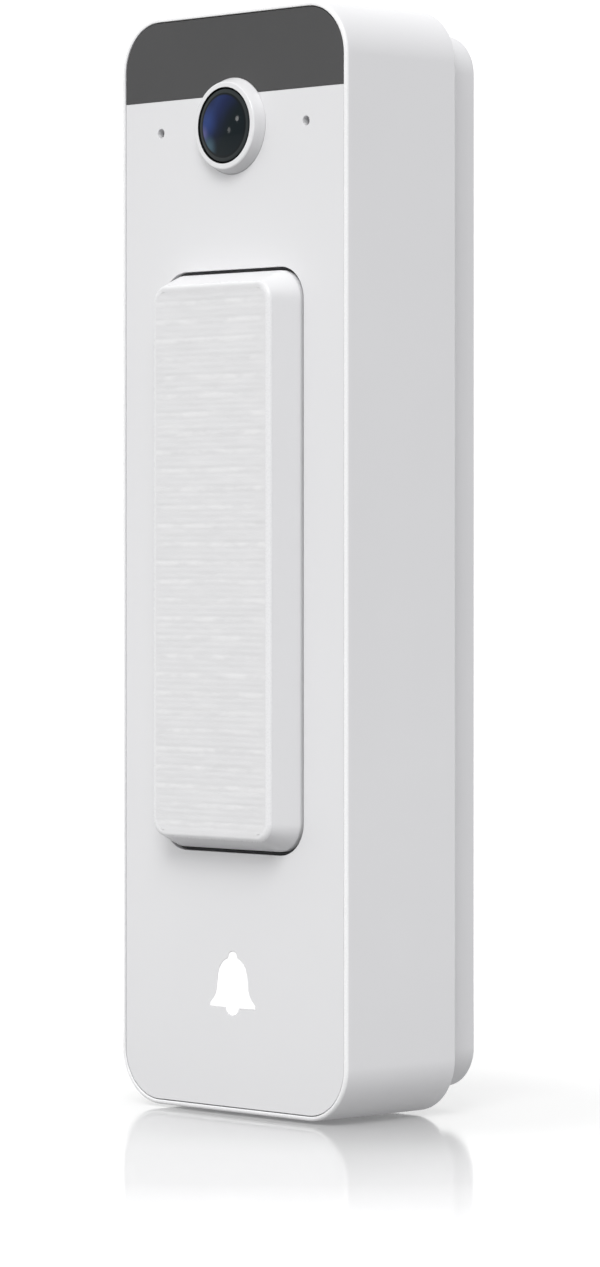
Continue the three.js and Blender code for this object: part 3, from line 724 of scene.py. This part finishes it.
def build_pad():
    """A close rib runs across the pad, and along each rib the thread swells and thins unevenly."""
    hw, hh, r, z_low = 11.695, 39.245, 1.955, 3.78
    pitch = 0.9
    nx, ny = 150, 380
    bm = bmesh.new()

    def edge_in(x, y):
        """Distance inside the pad's outline."""
        qx, qy = abs(x) - (hw - r), abs(y - MID) - (hh - r)
        outside = math.hypot(max(qx, 0), max(qy, 0)) + min(max(qx, qy), 0)
        return r - outside

    def height(x, y):
        row = math.floor((y - MID) / pitch)
        ph = (y - MID) / pitch - row
        rib = math.sin(math.pi * ph) ** 0.8
        band = 0.5 + 0.5 * math.sin(2 * math.pi * (y - MID) / 2.7 + 0.6)
        u = x / 1.9 + hash01(row, 7) * 9
        k = math.floor(u)
        t = u - k
        t = t * t * (3 - 2 * t)
        thread = lerp(hash01(row, k), hash01(row, k + 1), t)
        u2 = x / 5.5 + hash01(row // 3, 3) * 5
        k2 = math.floor(u2)
        t2 = u2 - k2
        t2 = t2 * t2 * (3 - 2 * t2)
        patch = lerp(hash01(row // 3, k2, 5), hash01(row // 3, k2 + 1, 5), t2)
        h = 0.04 * rib * (0.3 + 0.7 * thread) + 0.03 * band * patch
        fall = min(1.0, max(0.0, edge_in(x, y) / 0.9))
        return 4.285 + (h - 0.055) * (fall * (2 - fall))

    grid = []
    for j in range(ny + 1):
        y = MID - hh + 2 * hh * j / ny
        dy = abs(y - MID) - (hh - r)
        w = hw if dy <= 0 else hw - r + math.sqrt(max(0.0, r * r - dy * dy))
        grid.append([bm.verts.new((-w + 2 * w * i / nx, y, min(4.2875, height(-w + 2 * w * i / nx, y)))) for i in range(nx + 1)])
    for a, b in zip(grid, grid[1:]):
        for i in range(nx):
            bm.faces.new((a[i], a[i + 1], b[i + 1], b[i]))
    rim = grid[0] + [row[-1] for row in grid[1:-1]] + list(reversed(grid[-1])) + [row[0] for row in reversed(grid[1:-1])]
    low = [bm.verts.new((v.co.x, v.co.y, z_low)) for v in rim]
    for f in bm.faces:
        f.smooth = True
    for i in range(len(rim)):
        j = (i + 1) % len(rim)
        bm.faces.new((rim[i], low[i], low[j], rim[j]))
    bm.faces.new(low)
    o = finish_mesh("button_face_pad_v", bm)
    return o


piece(tidy(build_pad(), angle=50), "button_face_pad")


# ------------------------------------------------------------------ camera
C = (0.0, LENS_Y)
p = LENS_P
collar = (
    [(5.5, -3.0), (5.5, p - 0.1), (5.52, p - 0.05), (5.56, p - 0.01), (5.62, p), (6.14, p - 0.015), (6.26, p - 0.05), (6.34, p - 0.12), (6.39, p - 0.22)]
    + [(6.5, 1.1), (6.62, 0.8), (6.74, 0.5), (6.85, 0.2), (6.95, 0.0), (6.99, -0.1), (LENS_R, -0.2), (LENS_R, -1.95), (8.4, -1.95), (8.4, -3.0)]
)
ring = piece(tidy(finish_mesh("lens_collar_v", turned(collar, 128, C)), angle=45), "lens_collar")
ring.data.materials.append(MATS["lens_black"])
ring.data.materials.append(MATS["collar_flank"])
# faces inside the lip get lens_black, and the flank outside and behind the lip gets collar_flank, with painted shade
# graded by height
for f in ring.data.polygons:
    rad = math.hypot(f.center.x, f.center.z - LENS_Y * MM) / MM
    if rad < 5.54:
        f.material_index = 1
    elif rad > 6.42 and f.center.y > Y_RIM - (p - 0.2) * MM:
        f.material_index = 2


def dome(r, z_edge, z_top, n=12):
    """Points of a spherical cap, from its edge to its top."""
    s = z_top - z_edge
    rad = (r * r + s * s) / (2 * s)
    return [(r * (1 - i / n), z_top - rad + math.sqrt(rad * rad - (r * (1 - i / n)) ** 2)) for i in range(n + 1)]


cover = list(reversed(dome(4.6, 1.08, 1.42, 10))) + [(5.24, 1.08), (5.3, 1.12), (5.3, 1.44)] + dome(5.25, 1.5, 2.0, 18)
piece(tidy(finish_mesh("lens_cover_glass_v", turned(cover, 96, C)), angle=60), "lens_cover_glass")
barrel = [(3.5, -8), (3.5, -0.7), (4.82, -0.7), (4.82, 0.52), (4.86, 0.56), (4.9, 0.8), (4.93, 0.84), (5.02, 0.84), (5.05, 0.88), (5.07, 0.96), (5.1, 0.98), (5.27, 0.98), (5.3, 0.95), (5.3, -1.5), (4.9, -1.6), (4.9, -8)]
piece(tidy(finish_mesh("lens_barrel_v", turned(barrel, 112, C)), angle=30), "lens_barrel", "lens_black")
element = [(0, -0.6), (4.66, -0.6), (4.72, -0.54), (4.72, 0.28)] + dome(4.66, 0.34, 1.26, 18)
piece(tidy(finish_mesh("front_lens_element_v", turned(element, 96, C)), angle=60), "front_lens_element")


# ------------------------------------------------------------------ wall bracket and rear cover
HOOKS = [(-12, 128), (12, 128), (-12, 38), (12, 38)]
SLIDE = 6


def build_bracket():
    z0, zf = -D - BR_D, -D - BR_GAP
    floor = z0 + 1.8
    f = 0.5
    r0 = 6.0

    def outline(d):
        return inset(BR_IN + d, r0 - d)

    profile = arc(f, z0 + f, f, 270, 180, 4) + arc(0.2, zf - 0.2, 0.2, 180, 90, 3) + arc(1.85, zf - 0.15, 0.15, 90, 0, 2) + [(2.0, floor + 0.3), (2.3, floor)]
    base = sweep(profile, outline, closed=False)
    joins, cuts = [], []
    for x, y in HOOKS:
        joins.append(block(x - 2.5, x + 2.5, y, y + 2.5, floor - 0.5, -18.3))
        joins.append(block(x - 2.5, x + 2.5, y + 1.99, y + 5, -19.7, -18.3))
    joins.append(block(-4.5, 4.5, 10, 12, floor - 0.5, -15.6))
    cuts.append(prism(rr(10, 44, 66, 3, 10), z0 - 1, floor + 1))
    cuts.append(prism(rr(2.2, 135.5, 144.5, 2.19, 12), z0 - 1, floor + 1))
    cuts.append(prism(rr(4, 133.7, 146.3, 3.99, 12), floor - 0.8, floor + 1))
    cuts.append(prism(rr(4.5, 22.8, 27.2, 2.19, 12), z0 - 1, floor + 1))
    cuts.append(prism(rr(6.3, 21, 29, 3.99, 12), floor - 0.8, floor + 1))
    # shallow wells moulded into the wall side
    for y0, y1 in ((72, 100), (104, 128)):
        for x0, x1 in ((-15, -2), (2, 15)):
            cuts.append(prism(rr((x1 - x0) / 2, y0, y1, 2, 6), z0 - 1, z0 + 0.5) if False else prism([(px + (x0 + x1) / 2, py) for px, py in rr((x1 - x0) / 2, y0, y1, 2, 6)], z0 - 1, z0 + 0.5))
    return csg("wall_bracket_v", base, [("join", joins), ("cut", cuts)])


# the bracket gets the darkened copy of the shell plastic: painted shade
piece(tidy(build_bracket(), bevel=0.12, angle=50), "wall_bracket", "bracket_painted_shade")


def build_rear_cover():
    loops = [inset(2.25, R - 2.25)]
    for x, y in HOOKS:
        loops.append(rr(3, y - SLIDE - 0.5, y + 2.9, 0.6, 4))
        loops[-1] = [(px + x, py) for px, py in loops[-1]]
    loops.append(rr(9, 49.5, 60.5, 0.8, 4))
    loops.append(circle(0, 72, 1.6, 32))
    for x in (-19.3, 19.3):
        for y in (7.5, 152.5):
            loops.append(circle(x, y, 1.25, 28))
    o = plate("rear_cover_v", loops, -D, -20.02, 0.12)
    return o


cover_cuts = [block(-5.2, 5.2, 0, 12.6, -D - 1, -19)]
for x in (-19.3, 19.3):
    for y in (7.5, 152.5):
        cover_cuts.append(prism(circle(x, y, 2.35, 36), -D - 1, -20.7))
rear = build_rear_cover()
for bm in cover_cuts:
    t = finish_mesh("tool", bm)
    m = rear.modifiers.new("b", "BOOLEAN")
    m.solver = "EXACT"
    m.object = t
    me = bpy.data.meshes.new_from_object(rear.evaluated_get(bpy.context.evaluated_depsgraph_get()))
    rear.modifiers.clear()
    rear.data = me
    bpy.data.objects.remove(t)
piece(tidy(rear, angle=50), "rear_cover")


# ------------------------------------------------------------------ screws
def build_screw(node, head_r, head_h, shank_r, length, along="z", at=(0, 0, 0), drive=6):
    """Pan head with a recess, and a shank with a real thread form."""
    prof = [(0, 0.0)] + [(head_r - 0.35, 0.0)] + arc(head_r - 0.35, 0.35, 0.35, 270, 360, 5) + [(head_r, head_h), (shank_r * 0.86, head_h)]
    pitch = max(0.5, shank_r * 0.55)
    z = head_h + 0.3
    while z + pitch < head_h + length - 0.3:
        prof += [(shank_r * 0.84, z), (shank_r, z + pitch * 0.42), (shank_r, z + pitch * 0.52), (shank_r * 0.84, z + pitch * 0.9)]
        z += pitch
    prof += [(shank_r * 0.84, head_h + length - 0.3), (shank_r * 0.5, head_h + length), (0, head_h + length)]
    bm = turned(prof, 40)
    if drive == 6:
        pts = []
        for i in range(12):
            rad = head_r * (0.52 if i % 2 == 0 else 0.38)
            pts.append((rad * math.cos(math.pi * i / 6), rad * math.sin(math.pi * i / 6)))
        cutters = [prism(pts, -0.5, head_h * 0.6)]
    else:
        cutters = [block(-head_r * 0.62, head_r * 0.62, -head_r * 0.12, head_r * 0.12, -0.5, head_h * 0.55), block(-head_r * 0.12, head_r * 0.12, -head_r * 0.62, head_r * 0.62, -0.5, head_h * 0.55)]
    if along == "z":
        M = Matrix.Translation(at)
    else:
        M = Matrix.Translation(at) @ Matrix.Rotation(math.radians(-90), 4, "X")
    bm.transform(M)
    for c in cutters:
        c.transform(M)
    return csg(node + "_v", bm, [("cut", cutters)])


def put_screw(node, *a, **k):
    piece(tidy(build_screw(node, *a, **k), angle=42), node)


put_screw("security_screw", 2.3, 1.15, 1.25, 8.1, along="y", at=(0, 0.35, -17.5))
k = 0
for y in (152.5, 7.5):
    for x in (-19.3, 19.3):
        k += 1
        put_screw("rear_cover_screw_%d" % k, 2.05, 1.0, 0.8, 7, at=(x, y, -21.75), drive=4)
put_screw("terminal_screw_left", 2.7, 1.3, 1.25, 4.2, at=(-4.4, 55, -24.1), drive=4)
put_screw("terminal_screw_right", 2.7, 1.3, 1.25, 4.2, at=(4.4, 55, -24.1), drive=4)
put_screw("board_screw_lower", 1.9, 1.0, 0.8, 4.6, at=(-16, 28, -16.2), drive=4)
put_screw("board_screw_upper", 1.9, 1.0, 0.8, 4.6, at=(16, 122.5, -16.2), drive=4)


# ------------------------------------------------------------------ everything else keeps its CAD shape, with its edges rounded
def refine(node, bevel, segments=2):
    src = frame["nodes"][node]
    me = src.data.copy()
    o = bpy.data.objects.new(node + "_v", me)
    bpy.context.scene.collection.objects.link(o)
    o.matrix_world = src.matrix_world
    me.materials.clear()
    bm = bmesh.new()
    bm.from_mesh(me)
    bmesh.ops.remove_doubles(bm, verts=bm.verts, dist=2e-6)
    bm.to_mesh(me)
    bm.free()
    if me.has_custom_normals:
        o.data.normals_split_custom_set_from_vertices([(0, 0, 0)] * len(me.vertices))
    tidy(o, bevel=bevel, angle=42, segments=segments)
    return piece(o, node)


def build_spring(node):
    """Round wire, with the coils closed up at both ends."""
    lo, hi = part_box(node)
    lo, hi = Vector(lo), Vector(hi)
    wire = 0.225 * MM
    cx, cz = (lo.x + hi.x) / 2, (lo.z + hi.z) / 2
    rad = min(hi.x - lo.x, hi.z - lo.z) / 2 - 0.27 * MM
    y0, y1 = lo.y + wire * 1.06, hi.y - wire * 1.06
    turns, steps, sides = 5.5, 260, 12
    bm = bmesh.new()
    rows = []
    for i in range(steps + 1):
        t = i / steps
        k = t * turns
        # slow pitch over the first and last turn
        rise = 0.1 * min(k, 1) + 0.1 * max(0.0, k - (turns - 1)) + 0.8 * min(1.0, max(0.0, (k - 1) / (turns - 2)))
        a = 2 * math.pi * k
        c = Vector((cx + rad * math.cos(a), y0 + (y1 - y0) * rise, cz + rad * math.sin(a)))
        out = Vector((math.cos(a), 0, math.sin(a)))
        up = Vector((0, 1, 0))
        rows.append([bm.verts.new(c + wire * (math.cos(2 * math.pi * j / sides) * out + math.sin(2 * math.pi * j / sides) * up)) for j in range(sides)])
    for a, b in zip(rows, rows[1:]):
        for j in range(sides):
            n = (j + 1) % sides
            bm.faces.new((a[j], a[n], b[n], b[j]))
    bm.faces.new(rows[0])
    bm.faces.new(rows[-1])
    for f in bm.faces:
        f.smooth = len(f.verts) == 4
    o = piece(finish_mesh(node + "_v", bm, world=False), node)
    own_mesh(o)


for node in ("upper_return_spring", "lower_return_spring"):
    build_spring(node)

FINE = {"rear_gasket": 0.04, "button_seal": 0.05, "wifi_antenna": 0.03, "chassis_frame": 0.12, "button_carrier": 0.15,
        "rear_lens_element": 0, "ir_cut_filter": 0.03}
for node in list(BODY):
    if node not in made:
        refine(node, FINE.get(node, 0.08))


# ------------------------------------------------------------------ camera
def add_camera():
    yaw = 0.812
    cam = bpy.data.cameras.new("camera")
    cam.lens = 5047.27 * 36.0 / 1267.0
    cam.sensor_width = 36.0
    cam.sensor_fit = "AUTO"
    cam.shift_x = 0.0
    cam.shift_y = -75.435 / 1267.0
    cam.clip_start, cam.clip_end = 0.01, 300.0
    o = bpy.data.objects.new("camera", cam)
    bpy.context.scene.collection.objects.link(o)
    o.location = (538.28 * MM, -496.73 * MM + Y_RIM, 80.44 * MM)
    o.rotation_euler = (math.radians(90), 0, yaw)
    bpy.context.scene.camera = o


add_camera()


# ------------------------------------------------------------------ floor, light
def add_stage():
    bm = bmesh.new()
    n, rad = 96, 60.0
    c = bm.verts.new((0, 0, 0))
    ring = [bm.verts.new((rad * math.cos(2 * math.pi * i / n), rad * math.sin(2 * math.pi * i / n), 0)) for i in range(n)]
    for i in range(n):
        bm.faces.new((c, ring[i], ring[(i + 1) % n]))
    me = bpy.data.meshes.new("floor")
    bm.to_mesh(me)
    bm.free()
    o = bpy.data.objects.new("floor", me)
    bpy.context.scene.collection.objects.link(o)
    o.location = (0, 0, -0.0004)
    o.visible_diffuse = False
    m, nt, b = new_mat("floor")
    v = coords(nt)
    tone = ramp(nt, noise(nt, v, 0.01, 2), [(0.3, (0.995, 0.995, 0.995)), (0.7, (1.0, 1.0, 1.0))])
    # painted shadow: the floor's own colour is darker under and close round the object
    near = nt.nodes.new("ShaderNodeMapRange")
    near.interpolation_type = "SMOOTHSTEP"
    near.inputs["From Min"].default_value = 26
    near.inputs["From Max"].default_value = 66
    near.inputs["To Min"].default_value = 0.66
    near.inputs["To Max"].default_value = 0.88
    dist = nt.nodes.new("ShaderNodeVectorMath")
    dist.operation = "LENGTH"
    away = nt.nodes.new("ShaderNodeVectorMath")
    away.operation = "SUBTRACT"
    away.inputs[1].default_value = (8, 14, 0)
    nt.links.new(v, away.inputs[0])
    nt.links.new(away.outputs[0], dist.inputs[0])
    nt.links.new(dist.outputs["Value"], near.inputs[0])
    shade = nt.nodes.new("ShaderNodeVectorMath")
    shade.operation = "MULTIPLY"
    nt.links.new(tone, shade.inputs[0])
    nt.links.new(near.outputs[0], shade.inputs[1])
    nt.links.new(shade.outputs[0], b.inputs["Base Color"])
    b.inputs["Roughness"].default_value = 0.10
    # polished where the object stands, and satin further out
    ln = nt.nodes.new("ShaderNodeVectorMath")
    ln.operation = "LENGTH"
    nt.links.new(v, ln.inputs[0])
    mr = nt.nodes.new("ShaderNodeMapRange")
    mr.inputs["From Min"].default_value = 38
    mr.inputs["From Max"].default_value = 140
    mr.inputs["To Min"].default_value = 0.55
    mr.inputs["To Max"].default_value = 0.0
    nt.links.new(ln.outputs["Value"], mr.inputs[0])
    nt.links.new(mr.outputs[0], b.inputs["Specular IOR Level"])
    far = nt.nodes.new("ShaderNodeMapRange")
    far.inputs["From Min"].default_value = 90
    far.inputs["From Max"].default_value = 210
    far.inputs["To Min"].default_value = 0.0
    far.inputs["To Max"].default_value = 0.45
    nt.links.new(ln.outputs["Value"], far.inputs[0])
    nt.links.new(far.outputs[0], b.inputs["Emission Strength"])
    b.inputs["Emission Color"].default_value = (1, 1, 1, 1)
    me.materials.append(m)

    w = bpy.data.worlds.new("studio")
    bpy.context.scene.world = w
    w.use_nodes = True
    nt = w.node_tree
    nt.nodes.clear()
    out = nt.nodes.new("ShaderNodeOutputWorld")
    bg = nt.nodes.new("ShaderNodeBackground")
    nt.links.new(bg.outputs[0], out.inputs[0])
    tc = nt.nodes.new("ShaderNodeTexCoord")
    sep = nt.nodes.new("ShaderNodeSeparateXYZ")
    nt.links.new(tc.outputs["Generated"], sep.inputs[0])
    mr = nt.nodes.new("ShaderNodeMapRange")
    mr.inputs["From Min"].default_value = -0.45
    mr.inputs["From Max"].default_value = 0.9
    nt.links.new(sep.outputs["X"], mr.inputs[0])
    side = ramp(nt, mr.outputs[0], [(0.0, (1.0, 1.0, 1.0)), (1.0, (0.60, 0.60, 0.61))])
    # a little brighter behind the object
    my = nt.nodes.new("ShaderNodeMapRange")
    my.inputs["From Min"].default_value = -0.6
    my.inputs["From Max"].default_value = 0.6
    my.inputs["To Min"].default_value = 0.90
    my.inputs["To Max"].default_value = 1.12
    nt.links.new(sep.outputs["Y"], my.inputs[0])
    # dark below the horizon, less so on the right
    low = nt.nodes.new("ShaderNodeMapRange")
    low.inputs["From Min"].default_value = -0.7
    low.inputs["From Max"].default_value = 0.8
    low.inputs["To Min"].default_value = 0.24
    low.inputs["To Max"].default_value = 0.62
    nt.links.new(sep.outputs["X"], low.inputs[0])
    mz = nt.nodes.new("ShaderNodeMapRange")
    mz.inputs["From Min"].default_value = -0.10
    mz.inputs["From Max"].default_value = -0.03
    mz.inputs["To Max"].default_value = 1.0
    nt.links.new(low.outputs[0], mz.inputs["To Min"])
    nt.links.new(sep.outputs["Z"], mz.inputs[0])
    level = nt.nodes.new("ShaderNodeMath")
    level.operation = "MULTIPLY"
    nt.links.new(mz.outputs[0], level.inputs[0])
    nt.links.new(my.outputs[0], level.inputs[1])
    mul = nt.nodes.new("ShaderNodeMix")
    mul.data_type = "RGBA"
    mul.blend_type = "MULTIPLY"
    mul.inputs["Factor"].default_value = 1.0
    nt.links.new(side, mul.inputs["A"])
    nt.links.new(level.outputs[0], mul.inputs["B"])
    nt.links.new(mul.outputs["Result"], bg.inputs["Color"])
    bg.inputs["Strength"].default_value = 1.03

    def area(name, loc, target, size, power, colour=(1, 1, 1)):
        li = bpy.data.lights.new(name, "AREA")
        li.shape = "RECTANGLE"
        li.size, li.size_y = size
        li.energy = power
        li.color = colour
        ob = bpy.data.objects.new(name, li)
        bpy.context.scene.collection.objects.link(ob)
        ob.location = loc
        ob.rotation_euler = (Vector(target) - Vector(loc)).to_track_quat("-Z", "Y").to_euler()
        return ob

    key = Vector((0.44, -0.60, 0.668))
    area("key_softbox", tuple(Vector((0, 0, 0.06)) + key * 2.4), (0, 0, 0.06), (1.2, 1.2), 0.527 * math.pi ** 2 * 5.76)

    def glint(name, dx, dy, power):
        """A small lamp placed where its reflection in the dome falls dx, dy from the lens's axis."""
        rad = (5.25 ** 2 + 0.5 ** 2) / (2 * 0.5)
        nrm = Vector((dx, -math.sqrt(rad * rad - dx * dx - dy * dy), dy)).normalized()
        pt = Vector((dx * MM, Y_RIM - 1.9 * MM, (LENS_Y + dy) * MM))
        v = (bpy.context.scene.camera.location - pt).normalized()
        ref = 2 * nrm.dot(v) * nrm - v
        lamp = area(name, tuple(pt + ref), tuple(pt), (0.042, 0.042), power)
        lamp.data.shape = "DISK"
        lamp.visible_diffuse = False

    # low fill from the front left
    fill = area("fill", (-0.10, -0.26, 0.03), (0, 0, 0.03), (0.16, 0.10), 0.05)
    fill.visible_glossy = False
    fill.visible_camera = False
    foot = area("foot", (0.10, 0.0, 0.012), (0.024, 0, 0.008), (0.10, 0.02), 0.0025)
    foot.visible_glossy = False
    foot.visible_camera = False
    # strip beside the camera, seen only as a sheen on rounded edges
    strip = area("strip", (1.10, -1.04, 0.16), (0, 0, 0.08), (0.22, 0.9), 3.0 * math.pi * 0.198)
    strip.visible_diffuse = False
    strip.visible_camera = False
    glint("lamp_a", 3.1, 0.75, 0.075)
    glint("lamp_b", 1.5, -0.8, 0.035)
    return o


add_stage()
bpy.context.scene.view_settings.view_transform = "Standard"
